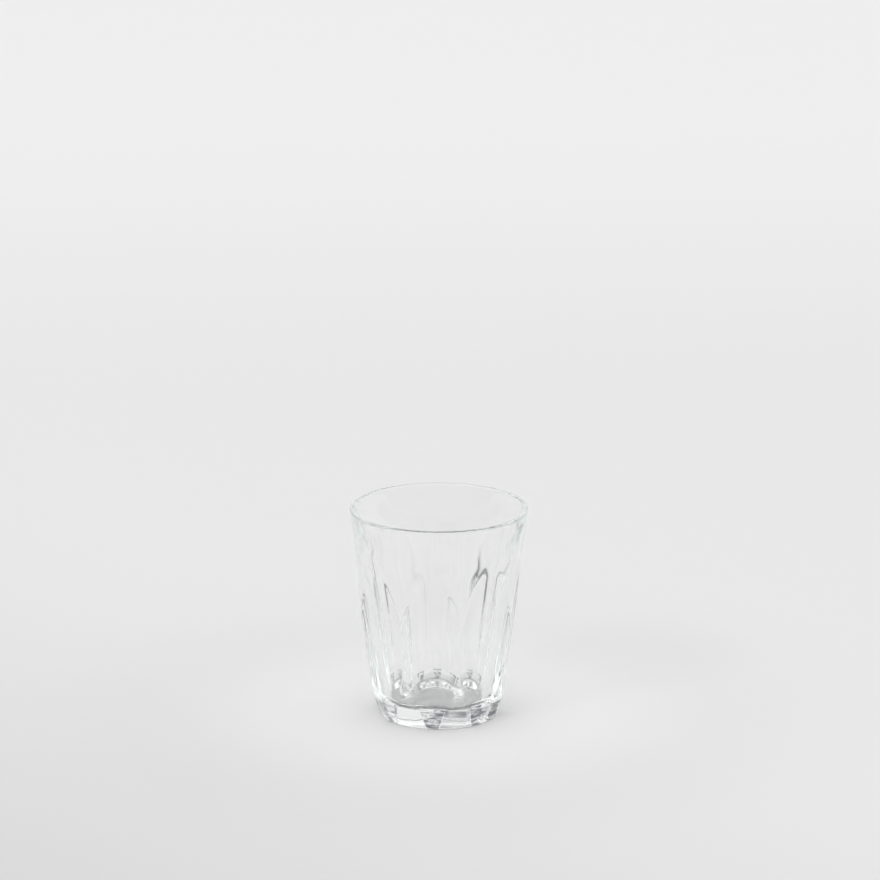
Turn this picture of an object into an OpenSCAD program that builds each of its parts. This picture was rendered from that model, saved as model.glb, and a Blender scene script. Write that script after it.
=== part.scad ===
// Juice glass: a small tumbler of clear pressed glass.
// Eight shallow flutes run up the wall and end in arches below a plain flared rim band.
// The glass stands on z = 0 with its axis on Z, and one flute faces the front, along -Y.
// It is one pressing, shown as the three zones that its mould shapes.

/* [Overall] */
// Height from the table to the lip
height = 80; // [76:1:90]
// Outer diameter at the lip, before its edge is rounded
rim_d = 67; // [65:0.5:70]
// Outer diameter at the waist, where the rim band starts to flare
waist_d = 61.6; // [61:0.2:62.4]
// Height of the waist above the table
waist_h = 61; // [58:0.5:63]
// Outer diameter at the shoulder, where the body turns from the lower cone to the upper one
shoulder_d = 60.4; // [60:0.2:61]
// Height of the shoulder above the table
shoulder_h = 34; // [32:0.5:36]
// Outer diameter at the heel, where the wall turns in to the foot
heel_d = 49.2; // [48.4:0.2:50.4]
// Height of the heel above the table
heel_h = 7.5; // [6:0.5:9]
// Diameter of the foot on the table, before its edge is rounded
foot_d = 44.4; // [43:0.2:45.4]
// Radius of the rounded foot edge
foot_round = 1; // [0.5:0.1:1.6]

/* [Walls] */
// Thickness of the wall at the lip
rim_wall = 2.8; // [2.4:0.1:3.2]
// Inner diameter at the floor, before its corner is rounded
inner_d = 37.4; // [36:0.2:39]
// Thickness of the floor above the table
floor_t = 7; // [5.5:0.5:9]
// Radius of the rounded corner between the floor and the inner wall
floor_round = 3.5; // [2.5:0.5:6]

/* [Underside] */
// Diameter of the shallow hollow under the floor
hollow_d = 36; // [28:1:38]
// Depth of the hollow at its middle
hollow_depth = 1.2; // [0.6:0.1:2]

/* [Flutes] */
// Number of flutes round the wall
flute_count = 8; // [7:1:10]
// Height of the tip of each flute's arch
flute_tip = 65; // [63.5:0.5:67]
// Depth of a flute at the heel
flute_heel = 0.6; // [0.4:0.1:0.9]
// Depth of a flute's facet where it runs out at the foot
flute_foot = 0.15; // [0.1:0.05:0.4]
// How far a flute bows in from the straight line between its heel and its tip
flute_bow = 1.2; // [1:0.05:1.3]
// Radius of the hollow across a flute
flute_round = 70; // [55:1:100]

/* [Zones] */
// Height of the gap between the flute tips and the rim band
band_gap = 2; // [1:0.5:4]

/* [Hidden] */
$fn = 128;
glass_tone = [0.84, 0.92, 0.90, 0.5];
overlap = 1;

rim_r = rim_d / 2;
waist_r = waist_d / 2;
shoulder_r = shoulder_d / 2;
heel_r = heel_d / 2;
foot_r = foot_d / 2;

// Body before the flutes are cut: a cone up to the shoulder, a steeper one to the waist and the flared band
side_taper = (shoulder_r - heel_r) / (shoulder_h - heel_h);
function side_r(z) = heel_r + side_taper * (z - heel_h);
flare = (rim_r - waist_r) / (height - waist_h);
flare_slant = sqrt(1 + flare * flare);
function band_r(z) = rim_r - flare * (height - z);

// Inner wall: a straight taper from the floor to the lip
inner_rim_r = rim_r - rim_wall;
inner_taper = (inner_rim_r - inner_d / 2) / (height - floor_t);
inner_slant = sqrt(1 + inner_taper * inner_taper);
function inner_r(z) = inner_rim_r - inner_taper * (height - z);

// Lip: the circle that touches both walls and the top
lip_round = rim_wall / (flare_slant + inner_slant + flare - inner_taper);
lip_z = height - lip_round;
lip_r = band_r(lip_z) - lip_round * flare_slant;

// Inner corner: the circle that touches the floor and the inner wall
corner_z = floor_t + floor_round;
corner_r = inner_r(corner_z) - floor_round * inner_slant;

// Foot edge: the circle that touches the table and the heel cone
heel_taper = (heel_r - foot_r) / heel_h;
heel_slant = sqrt(1 + heel_taper * heel_taper);
edge_r = foot_r + heel_taper * foot_round - foot_round * heel_slant;

// Flutes: a shallow hollow of round section, bent along a long arc from the heel to the tip
tip_r = band_r(flute_tip);
flute_heel_r = heel_r - flute_heel;
chord_r = tip_r - flute_heel_r;
chord_z = flute_tip - heel_h;
chord = sqrt(chord_r * chord_r + chord_z * chord_z);
flute_arc = (chord * chord / 4 + flute_bow * flute_bow) / (2 * flute_bow);
flute_centre_r = (tip_r + flute_heel_r) / 2 + (flute_arc - flute_bow) * chord_z / chord;
flute_centre_z = (flute_tip + heel_h) / 2 - (flute_arc - flute_bow) * chord_r / chord;

// Below the heel each flute ends in a flat facet that leans in to the foot
facet_r = foot_r - flute_foot;
facet_lean = atan((flute_heel_r - facet_r) / heel_h);
facet_w = 4 * sqrt(heel_r * heel_r - flute_heel_r * flute_heel_r);

// Hollow underside: a cap of a large sphere
hollow_sphere_r = (hollow_d * hollow_d / 4 + hollow_depth * hollow_depth) / (2 * hollow_depth);

// Flat planes where the zones meet
base_top = corner_z;
band_bottom = flute_tip + band_gap;

// The ribs of the mould that press the flutes, as a ring of bent rods
module flutes() {
    for (i = [0 : flute_count - 1])
        rotate([0, 0, -90 + i * 360 / flute_count])
            translate([flute_centre_r, 0, flute_centre_z])
                rotate([90, 0, 0])
                    rotate_extrude($fn = 360)
                        translate([flute_arc - flute_round, 0])
                            circle(r = flute_round);
}

// The lower ends of those ribs, from the heel down to the foot
module heel_facets() {
    for (i = [0 : flute_count - 1])
        rotate([0, 0, -90 + i * 360 / flute_count])
            translate([facet_r, 0, 0])
                rotate([0, facet_lean, 0])
                    translate([0, -facet_w / 2, -overlap])
                        cube([facet_w, facet_w, heel_h + 3 * overlap]);
}

// The space inside the glass, from the floor to above the lip
module cavity() {
    rotate_extrude() {
        polygon([
            [0, floor_t],
            [corner_r, floor_t],
            [corner_r + floor_round / inner_slant, corner_z - floor_round * inner_taper / inner_slant],
            [inner_r(height + overlap), height + overlap],
            [0, height + overlap]
        ]);
        translate([corner_r, corner_z])
            circle(r = floor_round);
    }
}

// The thick bottom with the heel, the foot edge and the inner corner
module base() {
    color(glass_tone)
        difference() {
            difference() {
                rotate_extrude() {
                    polygon([
                        [0, 0],
                        [edge_r, 0],
                        [edge_r + foot_round / heel_slant, foot_round - foot_round * heel_taper / heel_slant],
                        [heel_r, heel_h],
                        [side_r(base_top), base_top],
                        [0, base_top]
                    ]);
                    translate([edge_r, foot_round])
                        circle(r = foot_round);
                }
                flutes();
            }
            heel_facets();
            cavity();
            translate([0, 0, hollow_depth - hollow_sphere_r])
                sphere(r = hollow_sphere_r);
        }
}

// The wall with its flutes and their arches
module fluted_wall() {
    color(glass_tone)
        difference() {
            rotate_extrude()
                polygon([
                    [inner_r(base_top), base_top],
                    [side_r(base_top), base_top],
                    [shoulder_r, shoulder_h],
                    [waist_r, waist_h],
                    [band_r(band_bottom), band_bottom],
                    [inner_r(band_bottom), band_bottom]
                ]);
            flutes();
        }
}

// The plain band with the rounded drinking lip
module rim_band() {
    color(glass_tone)
        rotate_extrude() {
            polygon([
                [inner_r(band_bottom), band_bottom],
                [band_r(band_bottom), band_bottom],
                [lip_r + lip_round / flare_slant, lip_z - lip_round * flare / flare_slant],
                [lip_r - lip_round / inner_slant, lip_z + lip_round * inner_taper / inner_slant]
            ]);
            translate([lip_r, lip_z])
                circle(r = lip_round);
        }
}

base();
fluted_wall();
rim_band();
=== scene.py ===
import math

import bpy
import numpy as np
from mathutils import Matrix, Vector


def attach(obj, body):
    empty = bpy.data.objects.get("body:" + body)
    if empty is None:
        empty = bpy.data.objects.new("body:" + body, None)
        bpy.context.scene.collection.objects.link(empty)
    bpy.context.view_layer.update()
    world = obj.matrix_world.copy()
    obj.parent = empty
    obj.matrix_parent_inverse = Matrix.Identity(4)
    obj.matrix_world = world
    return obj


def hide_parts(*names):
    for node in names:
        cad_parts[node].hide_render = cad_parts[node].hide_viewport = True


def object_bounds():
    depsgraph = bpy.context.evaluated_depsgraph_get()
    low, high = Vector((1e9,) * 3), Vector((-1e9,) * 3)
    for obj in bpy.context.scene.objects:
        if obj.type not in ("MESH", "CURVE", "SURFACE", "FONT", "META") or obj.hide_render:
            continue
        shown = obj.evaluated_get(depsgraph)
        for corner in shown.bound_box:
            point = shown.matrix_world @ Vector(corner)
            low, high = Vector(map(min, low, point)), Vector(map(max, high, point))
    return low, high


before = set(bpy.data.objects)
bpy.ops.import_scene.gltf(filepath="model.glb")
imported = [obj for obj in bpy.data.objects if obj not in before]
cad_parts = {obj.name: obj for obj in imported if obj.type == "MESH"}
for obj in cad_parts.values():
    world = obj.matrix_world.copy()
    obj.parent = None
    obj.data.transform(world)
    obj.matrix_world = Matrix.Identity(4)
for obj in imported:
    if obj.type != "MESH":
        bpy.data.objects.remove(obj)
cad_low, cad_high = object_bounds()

scene = bpy.context.scene
# Light crosses many faces of the glass before it leaves, so it gets more bounces than usual.
GLASS_BOUNCES = 48
scene.cycles.max_bounces = GLASS_BOUNCES
scene.cycles.glossy_bounces = GLASS_BOUNCES
scene.cycles.transmission_bounces = GLASS_BOUNCES
scene.view_settings.view_transform = "Standard"

# Camera: a long lens that looks down on the glass from the front, turned a little to the right,
# so that the front flute stands left of the middle and its neighbour shows its side.
# The glass stands low in the frame, and its rim is as wide there as in the photograph.
VIEW_TURN = math.radians(6)
VIEW_TILT = math.radians(17.1)
VIEW_DISTANCE = 2.6
VIEW_HEIGHT = 0.040
IMAGE_SIDE = 880
SENSOR = 36.0
RIM_PIXELS = 176.5
RIM_WIDTH = 0.066
LOW_PIXELS = 169.5
LEFT_PIXELS = 1.0
focal_pixels = RIM_PIXELS * VIEW_DISTANCE / RIM_WIDTH
camera_data = bpy.data.cameras.new("camera")
camera_data.sensor_width = SENSOR
camera_data.lens = focal_pixels * SENSOR / IMAGE_SIDE
camera_data.clip_end = 50
camera = bpy.data.objects.new("camera", camera_data)
scene.collection.objects.link(camera)
camera.location = (
    VIEW_DISTANCE * math.cos(VIEW_TILT) * math.sin(VIEW_TURN),
    -VIEW_DISTANCE * math.cos(VIEW_TILT) * math.cos(VIEW_TURN),
    VIEW_HEIGHT + VIEW_DISTANCE * math.sin(VIEW_TILT),
)
camera.rotation_euler = (
    math.pi / 2 - VIEW_TILT + math.atan(LOW_PIXELS / focal_pixels),
    0,
    VIEW_TURN - math.atan(LEFT_PIXELS / focal_pixels),
)
scene.camera = camera

# Floor: the pale matt table top that the glass stands on, which runs out of the view on all sides.
# Its colour has a painted pool of light near the glass, painted light towards the back and painted shade
# at the front left.
# It lies a hair below the glass, because two faces in one plane would show as black lines.
FLOOR_SIDE = 12.0
FLOOR_TONE, POOL_LIGHT_TONE = 0.80, 0.95
POOL_LIGHT_EDGE = (0.0, 0.14)
BACK_WAY, BACK_RUN, BACK_PAINTED_LIGHT = (-0.1, 1.0, 0.0), (0.43, 1.0), (0.0, 0.06)
FRONT_WAY, FRONT_RUN, FRONT_PAINTED_SHADE = (0.9, 1.1, 0.0), (-0.6, 0.12), (-0.155, 0.004)
AIR_GAP = 0.0001
bpy.ops.mesh.primitive_plane_add(size=FLOOR_SIDE, location=(0, 0, -AIR_GAP))
floor = bpy.context.object
floor.name = "floor"
floor_paint = bpy.data.materials.new("floor_paint")
floor_paint.use_nodes = True
floor_shader = floor_paint.node_tree.nodes["Principled BSDF"]
floor_nodes, floor_links = floor_paint.node_tree.nodes, floor_paint.node_tree.links
floor_place = floor_nodes.new("ShaderNodeTexCoord")
floor_reach = floor_nodes.new("ShaderNodeVectorMath")
floor_reach.operation = "LENGTH"
floor_links.new(floor_place.outputs["Object"], floor_reach.inputs[0])
# Painted pool of light: the floor's colour is lighter near the glass, which lightens the glass's contact
# shadow.
floor_pool_light = floor_nodes.new("ShaderNodeMapRange")
floor_pool_light.interpolation_type = "SMOOTHERSTEP"
floor_pool_light.inputs["From Min"].default_value, floor_pool_light.inputs["From Max"].default_value = POOL_LIGHT_EDGE
floor_pool_light.inputs["To Min"].default_value = POOL_LIGHT_TONE
floor_pool_light.inputs["To Max"].default_value = FLOOR_TONE
floor_links.new(floor_reach.outputs["Value"], floor_pool_light.inputs["Value"])
floor_sum = floor_pool_light.outputs["Result"]
# Painted light towards the back and painted shade at the front left, added to the floor's colour.
for way, run, change in ((BACK_WAY, BACK_RUN, BACK_PAINTED_LIGHT), (FRONT_WAY, FRONT_RUN, FRONT_PAINTED_SHADE)):
    floor_side = floor_nodes.new("ShaderNodeVectorMath")
    floor_side.operation = "DOT_PRODUCT"
    floor_side.inputs[1].default_value = way
    floor_links.new(floor_place.outputs["Object"], floor_side.inputs[0])
    floor_light_and_shade = floor_nodes.new("ShaderNodeMapRange")
    floor_light_and_shade.interpolation_type = "SMOOTHSTEP"
    floor_light_and_shade.inputs["From Min"].default_value, floor_light_and_shade.inputs["From Max"].default_value = run
    floor_light_and_shade.inputs["To Min"].default_value, floor_light_and_shade.inputs["To Max"].default_value = change
    floor_links.new(floor_side.outputs["Value"], floor_light_and_shade.inputs["Value"])
    floor_add = floor_nodes.new("ShaderNodeMath")
    floor_links.new(floor_sum, floor_add.inputs[0])
    floor_links.new(floor_light_and_shade.outputs["Result"], floor_add.inputs[1])
    floor_sum = floor_add.outputs[0]
floor_links.new(floor_sum, floor_shader.inputs["Base Color"])
floor_shader.inputs["Roughness"].default_value = 0.9
floor_shader.inputs["Specular IOR Level"].default_value = 0.1
floor.data.materials.append(floor_paint)

# Light: a pale room, bright behind the glass and dark along the horizon on the other sides, which draws
# the glass's lines, with a bright ring of soft light high up all round and one small soft box.
# The tones run from the horizon at 0 to straight up at 1.
ROOM = 1.14
FRONT_TONES = (
    (0.0, 0.08), (0.1, 0.1), (0.25, 0.35), (0.4, 0.5),
    (0.52, 1.9), (0.7, 1.9), (0.82, 0.25), (1.0, 0.15),
)
BACK_TONES = (
    (0.0, 0.75), (0.1, 0.75), (0.25, 0.8), (0.4, 0.8),
    (0.52, 1.4), (0.7, 1.4), (0.82, 0.25), (1.0, 0.15),
)
BACK_EDGE = (0.5, 0.85)
BOX_PLACE, BOX_SIDE, BOX_POWER = (-1.3, -1.5, 1.5), 0.4, 3.0
world = bpy.data.worlds.new("room")
world.use_nodes = True
scene.world = world
world_nodes = world.node_tree.nodes
world_links = world.node_tree.links
background = world_nodes["Background"]
background.inputs["Strength"].default_value = ROOM
look = world_nodes.new("ShaderNodeTexCoord")
ways = world_nodes.new("ShaderNodeSeparateXYZ")
world_links.new(look.outputs["Generated"], ways.inputs[0])
behind = world_nodes.new("ShaderNodeMapRange")
behind.interpolation_type = "SMOOTHSTEP"
behind.inputs["From Min"].default_value, behind.inputs["From Max"].default_value = BACK_EDGE
world_links.new(ways.outputs["Y"], behind.inputs["Value"])
blend = world_nodes.new("ShaderNodeMix")
world_links.new(behind.outputs["Result"], blend.inputs["Factor"])
for socket, stops in ((blend.inputs["A"], FRONT_TONES), (blend.inputs["B"], BACK_TONES)):
    ramp = world_nodes.new("ShaderNodeValToRGB")
    while len(ramp.color_ramp.elements) < len(stops):
        ramp.color_ramp.elements.new(0.5)
    for stop, (place, tone) in zip(ramp.color_ramp.elements, stops):
        stop.position = place
        stop.color = (tone, tone, tone, 1)
    world_links.new(ways.outputs["Z"], ramp.inputs["Fac"])
    world_links.new(ramp.outputs["Color"], socket)
world_links.new(blend.outputs["Result"], background.inputs["Color"])
box = bpy.data.lights.new("soft_box", "AREA")
box.size = BOX_SIDE
box.energy = BOX_POWER
lamp = bpy.data.objects.new("soft_box", box)
scene.collection.objects.link(lamp)
lamp.location = BOX_PLACE
box_aim = Vector((0, 0, VIEW_HEIGHT)) - Vector(BOX_PLACE)
lamp.rotation_euler = box_aim.to_track_quat("-Z", "Y").to_euler()

# Glass: one pressing of clear glass, so the base, the fluted wall and the rim band have no seam.
# Its mould leaves eight shallow flutes with arched tops, and fire polishing rounds every edge a little.
# It stands loose on the table on the ring round its hollow underside.
MM = 0.001
height = cad_high.z / MM
# Sizes are in mm. The rim lies just inside the solids' rim, and the wall thins to the lip.
rim_r, rim_wall = 33.4, 2.7
lip_wall, lip_run = 1.7, 16.0
waist_r, waist_h = 30.8, 61.0
shoulder_r, shoulder_h = 30.2, 34.0
heel_r, heel_h = 24.6, 7.5
foot_r, foot_round = 22.2, 1.0
inner_r, floor_t, floor_round = 18.7, 7.0, 3.5
hollow_r, hollow_depth = 18.0, 1.2
flute_count, flute_tip = 8, 65.0
flute_heel, flute_foot = 0.6, 0.15
flute_bow, flute_round = 1.2, 70.0
edge_soft, heel_soft = 0.4, 0.3

flare = (rim_r - waist_r) / (height - waist_h)
flare_slant = math.hypot(1, flare)
heel_taper = (heel_r - foot_r) / heel_h
heel_slant = math.hypot(1, heel_taper)
inner_rim_r = rim_r - rim_wall
inner_taper = (inner_rim_r - inner_r) / (height - floor_t)
inner_slant = math.hypot(1, inner_taper)
lip_round = lip_wall / (flare_slant + inner_slant + flare - inner_taper)
lip_z = height - lip_round
lip_r = rim_r - flare * lip_round - lip_round * flare_slant
corner_z = floor_t + floor_round
corner_r = inner_rim_r - inner_taper * (height - corner_z) - floor_round * inner_slant
edge_r = foot_r + heel_taper * foot_round - foot_round * heel_slant

tip_r = rim_r - flare * (height - flute_tip)
flute_heel_r, facet_r = heel_r - flute_heel, foot_r - flute_foot
chord_z, chord_r = flute_tip - heel_h, tip_r - flute_heel_r
chord = math.hypot(chord_z, chord_r)
flute_arc = (chord ** 2 / 4 + flute_bow ** 2) / (2 * flute_bow)
flute_centre_r = (tip_r + flute_heel_r) / 2 + (flute_arc - flute_bow) * chord_z / chord
flute_centre_z = (flute_tip + heel_h) / 2 - (flute_arc - flute_bow) * chord_r / chord


def soft_min(a, b, soft):
    """The lesser of two radii, with the edge between them rounded off."""
    share = np.clip(0.5 + 0.5 * (b - a) / soft, 0, 1)
    return b * (1 - share) + a * share - soft * share * (1 - share)


def body_radius(z):
    """The radius of the round body at height z, before the flutes are cut."""
    foot = foot_r + heel_taper * z
    side = heel_r + (shoulder_r - heel_r) * (z - heel_h) / (shoulder_h - heel_h)
    upper = waist_r - (waist_r - shoulder_r) * (waist_h - z) / (waist_h - shoulder_h)
    band = -soft_min(-upper, flare * (height - z) - rim_r, heel_soft)
    return soft_min(soft_min(foot, side, heel_soft), band, heel_soft)


def flute_radius(turn, z):
    """The radius that a flute and its heel facet leave at angle turn from their middle and height z."""
    middle = flute_centre_r - np.sqrt(flute_arc ** 2 - (z - flute_centre_z) ** 2)
    bend = np.sqrt(np.maximum(np.cos(turn) ** 2 - 2 * middle / flute_round * np.sin(turn) ** 2, 0))
    facet = facet_r + (flute_heel_r - facet_r) * z / heel_h
    return soft_min(2 * middle / (np.cos(turn) + bend), facet / np.cos(turn), heel_soft)


def inner_radius(z):
    """The radius of the inner wall at height z, which thins the wall to the lip over the last stretch."""
    rise = np.clip((z - height + lip_run) / lip_run, 0, 1)
    thinning = (rim_wall - lip_wall) * rise ** 2 * (3 - 2 * rise)
    return inner_rim_r - inner_taper * (height - z) + thinning


STEPS, CROWDING = 60, 0.6
pitch = 2 * math.pi / flute_count
step = np.linspace(-1, 1, STEPS, endpoint=False)
turn_set = pitch / 2 * (step + CROWDING * np.sin(math.pi * step) / math.pi)
angles = np.concatenate([turn_set + i * pitch for i in range(flute_count)])
turns = np.tile(turn_set, flute_count)
TURNS = len(angles)

# Rows of the outline, from the middle of the underside up the outside, over the lip and down the inside.
# Each has its radius, its height and whether the flutes cut it.
HOLLOW_ROWS, FOOT_ROWS, LIP_ROWS, CORNER_ROWS, FLOOR_ROWS = 7, 7, 15, 12, 5
FACET_ROWS, HEEL_ROWS, FLUTE_ROWS, BAND_ROWS = 8, 14, 112, 5
LIP_RUN_ROWS, TAPER_ROWS = 12, 6
RING_INSET, HEEL_MARGIN, TIP_MARGIN = 1, 1, 2
plain = []
for r in np.linspace(0, hollow_r, HOLLOW_ROWS)[1:-1]:
    plain.append((r, hollow_depth * (1 - (r / hollow_r) ** 2), False))
plain.append((hollow_r, 0, False))
plain.append((edge_r - RING_INSET, 0, False))
for a in np.linspace(-math.pi / 2, -math.atan(heel_taper), FOOT_ROWS):
    plain.append((edge_r + foot_round * math.cos(a), foot_round * (1 + math.sin(a)), True))
wall_rows = np.concatenate([
    np.linspace(foot_round, heel_h - HEEL_MARGIN, FACET_ROWS)[1:],
    np.linspace(heel_h - HEEL_MARGIN, heel_h + HEEL_MARGIN, HEEL_ROWS)[1:],
    np.linspace(heel_h + HEEL_MARGIN, flute_tip + TIP_MARGIN, FLUTE_ROWS)[1:],
    np.linspace(flute_tip + TIP_MARGIN, lip_z - lip_round * flare / flare_slant, BAND_ROWS)[1:],
])
for z in wall_rows:
    plain.append((float(body_radius(z)), z, True))
for a in np.linspace(-math.atan(flare), math.pi - math.atan(inner_taper), LIP_ROWS)[1:]:
    plain.append((lip_r + lip_round * math.cos(a), lip_z + lip_round * math.sin(a), False))
corner_top = corner_z - floor_round * inner_taper / inner_slant
inner_rows = np.concatenate([
    np.linspace(lip_z, height - lip_run, LIP_RUN_ROWS)[1:],
    np.linspace(height - lip_run, corner_top, TAPER_ROWS)[1:-1],
])
for z in inner_rows:
    plain.append((float(inner_radius(z)), z, False))
for a in np.linspace(-math.atan(inner_taper), -math.pi / 2, CORNER_ROWS):
    plain.append((corner_r + floor_round * math.cos(a), corner_z + floor_round * math.sin(a), False))
for r in np.linspace(corner_r, 0, FLOOR_ROWS)[1:-1]:
    plain.append((r, floor_t, False))

rows = []
for r, z, cut_back in plain:
    ring = np.full(TURNS, r)
    if cut_back:
        for cut in (turns, pitch - np.abs(turns)):
            ring = soft_min(ring, flute_radius(cut, z), edge_soft)
    rows.append(np.stack([ring * np.sin(angles), -ring * np.cos(angles), np.full(TURNS, z)], 1))
points = np.concatenate([[[0, 0, hollow_depth]], *rows, [[0, 0, floor_t]]]) * MM
last = len(points) - 1
faces = []
for j in range(TURNS):
    k = (j + 1) % TURNS
    faces.append((0, 1 + k, 1 + j))
    for i in range(len(rows) - 1):
        low, high = 1 + i * TURNS, 1 + (i + 1) * TURNS
        faces.append((low + j, low + k, high + k, high + j))
    top = 1 + (len(rows) - 1) * TURNS
    faces.append((last, top + j, top + k))
glass_mesh = bpy.data.meshes.new("juice_glass")
glass_mesh.from_pydata(points.tolist(), [], faces)
glass_mesh.shade_smooth()
glass = bpy.data.objects.new("juice_glass", glass_mesh)
scene.collection.objects.link(glass)

# Its surface is a little wavy all over, the heel facets are rippled, and the resting ring is worn dull.
# The facets' dark tint stands in for the reflections that make them look dark.
# The depth tint is the glass's own.
WAVE, WAVE_SCALE = 0.00006, 110.0
RIPPLE, RIPPLE_SCALE = 0.0004, (260.0, 260.0, 700.0)
RIPPLE_WIDE, RIPPLE_NARROW = 0.0048, 0.0024
FACET_PAINTED_SHADE, SHADE_PATCH_EDGE = (0.07, 0.075, 0.095, 1), (0.35, 0.7)
RIPPLE_TOP, FACET_FADE = 0.0004, 0.0004
FOOT_MARGIN, RING_FADE = (2, 1), 1
DEPTH_TINT, DEPTH = (0.35, 0.8, 0.7, 1), 0.8
WORN_HEIGHT, WORN_ROUGHNESS, SCUFF_SCALE = 0.0004, 0.35, 900.0
clear_glass = bpy.data.materials.new("clear_glass")
clear_glass.use_nodes = True
glass_nodes = clear_glass.node_tree.nodes
glass_links = clear_glass.node_tree.links
glass_shader = glass_nodes["Principled BSDF"]
glass_shader.inputs["IOR"].default_value = 1.52
glass_shader.inputs["Transmission Weight"].default_value = 1.0


def calculate(operation, *values):
    """The output of a new math node of the glass material, fed with sockets or plain numbers."""
    made = glass_nodes.new("ShaderNodeMath")
    made.operation = operation
    for socket, value in zip(made.inputs, values):
        if isinstance(value, (int, float)):
            socket.default_value = value
        else:
            glass_links.new(value, socket)
    return made.outputs[0]


def fade(value, low, high):
    """The output of a new node that runs smoothly from 0 at low to 1 at high."""
    made = glass_nodes.new("ShaderNodeMapRange")
    made.interpolation_type = "SMOOTHSTEP"
    glass_links.new(value, made.inputs["Value"])
    made.inputs["From Min"].default_value = low
    made.inputs["From Max"].default_value = high
    return made.outputs["Result"]


place = glass_nodes.new("ShaderNodeTexCoord").outputs["Object"]
split = glass_nodes.new("ShaderNodeSeparateXYZ")
glass_links.new(place, split.inputs[0])
x, y, z = split.outputs
reach_squared = calculate("ADD", calculate("MULTIPLY", x, x), calculate("MULTIPLY", y, y))
reach = calculate("SQRT", reach_squared)
round_turn = calculate("ARCTAN2", x, calculate("MULTIPLY", y, -1.0))
flute_turn = calculate("WRAP", round_turn, pitch / 2, -pitch / 2)
aside = calculate("ABSOLUTE", calculate("MULTIPLY", reach, calculate("SINE", flute_turn)))
widening = (RIPPLE_WIDE - RIPPLE_NARROW) / (heel_h * MM)
inside = calculate("SUBTRACT", calculate("MULTIPLY_ADD", z, widening, RIPPLE_NARROW), aside)
below_heel = fade(z, heel_h * MM, heel_h * MM - FACET_FADE)
off_underside = fade(reach, (foot_r - FOOT_MARGIN[0]) * MM, (foot_r - FOOT_MARGIN[1]) * MM)
facet = calculate("MULTIPLY", fade(inside, 0.0, FACET_FADE), below_heel)
facet = calculate("MULTIPLY", facet, off_underside)

wave = glass_nodes.new("ShaderNodeTexNoise")
wave.inputs["Scale"].default_value = WAVE_SCALE
wave.inputs["Detail"].default_value = 1.0
glass_links.new(place, wave.inputs["Vector"])
stretch = glass_nodes.new("ShaderNodeVectorMath")
stretch.operation = "MULTIPLY"
stretch.inputs[1].default_value = RIPPLE_SCALE
glass_links.new(place, stretch.inputs[0])
ripple = glass_nodes.new("ShaderNodeTexNoise")
ripple.inputs["Scale"].default_value = 1.0
ripple.inputs["Detail"].default_value = 1.0
glass_links.new(stretch.outputs[0], ripple.inputs["Vector"])
ripple_height = calculate("MULTIPLY", calculate("MULTIPLY", ripple.outputs[0], facet), RIPPLE)
surface = glass_nodes.new("ShaderNodeBump")
surface.inputs["Distance"].default_value = 1.0
glass_links.new(calculate("MULTIPLY_ADD", wave.outputs[0], WAVE, ripple_height), surface.inputs["Height"])
glass_links.new(surface.outputs[0], glass_shader.inputs["Normal"])

# A mix node names its colour sockets like its number sockets, so they are picked by their place.
COLOUR_A, COLOUR_B, COLOUR_OUT = 6, 7, 2
# Painted shade: the facets' base colour is darkened in patches and along their top edge, in place of the
# dark reflections the facets show.
tint = glass_nodes.new("ShaderNodeMix")
tint.data_type = "RGBA"
tint.inputs[COLOUR_A].default_value = (1, 1, 1, 1)
tint.inputs[COLOUR_B].default_value = FACET_PAINTED_SHADE
painted_shade_patches = fade(ripple.outputs[0], SHADE_PATCH_EDGE[1], SHADE_PATCH_EDGE[0])
painted_top_shade = fade(z, heel_h * MM - 2 * RIPPLE_TOP, heel_h * MM - RIPPLE_TOP)
painted_shade_patches = calculate("MAXIMUM", painted_shade_patches, painted_top_shade)
glass_links.new(calculate("MULTIPLY", facet, painted_shade_patches), tint.inputs["Factor"])
glass_links.new(tint.outputs[COLOUR_OUT], glass_shader.inputs["Base Color"])

scuff = glass_nodes.new("ShaderNodeTexNoise")
scuff.inputs["Scale"].default_value = SCUFF_SCALE
scuff.inputs["Detail"].default_value = 3.0
glass_links.new(place, scuff.inputs["Vector"])
off_hollow = fade(reach, (hollow_r - RING_FADE) * MM, hollow_r * MM)
worn_ring = calculate("MULTIPLY", fade(z, WORN_HEIGHT, 0.0), off_hollow)
worn = calculate("MULTIPLY", worn_ring, calculate("MULTIPLY", scuff.outputs[0], WORN_ROUGHNESS))
glass_links.new(worn, glass_shader.inputs["Roughness"])
depth = glass_nodes.new("ShaderNodeVolumeAbsorption")
depth.inputs["Color"].default_value = DEPTH_TINT
depth.inputs["Density"].default_value = DEPTH
glass_links.new(depth.outputs[0], glass_nodes["Material Output"].inputs["Volume"])
glass_mesh.materials.append(clear_glass)
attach(glass, "root")
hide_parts("base", "fluted_wall", "rim_band")
